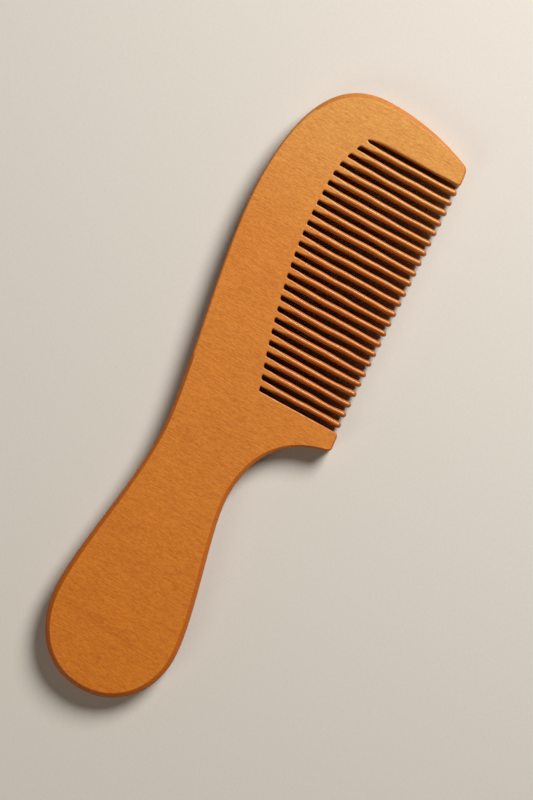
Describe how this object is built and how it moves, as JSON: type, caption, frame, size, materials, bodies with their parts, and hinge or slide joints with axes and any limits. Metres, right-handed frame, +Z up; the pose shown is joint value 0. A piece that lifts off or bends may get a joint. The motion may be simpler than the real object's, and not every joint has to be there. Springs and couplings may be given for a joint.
{
  "type": "wide tooth comb",
  "caption": "Flat wooden hair comb with a rounded handle, a narrow neck, a curved spine, heavy end guards and thick, widely spaced round-crowned teeth.",
  "frame": {"origin": "centre of the comb's box, on the face that it lies on", "axes": "+X from the butt of the handle to the head, +Y from the tooth tips to the back of the spine, +Z up out of the face, through the thickness"},
  "size_m": [0.19, 0.0552, 0.008],
  "materials": {
    "wood": "honey brown hardwood with fine grain along the teeth, sanded round at the edges, under a clear satin lacquer"
  },
  "bodies": {
    "root": {"handle": "wood", "spine": "wood", "neck_guard": "wood", "end_guard": "wood", "tooth_01": "wood", "tooth_02": "wood", "tooth_03": "wood", "tooth_04": "wood", "tooth_05": "wood", "tooth_06": "wood", "tooth_07": "wood", "tooth_08": "wood", "tooth_09": "wood", "tooth_10": "wood", "tooth_11": "wood", "tooth_12": "wood", "tooth_13": "wood", "tooth_14": "wood", "tooth_15": "wood", "tooth_16": "wood", "tooth_17": "wood", "tooth_18": "wood", "tooth_19": "wood", "tooth_20": "wood", "tooth_21": "wood", "tooth_22": "wood", "tooth_23": "wood", "tooth_24": "wood"}
  },
  "joints": []
}
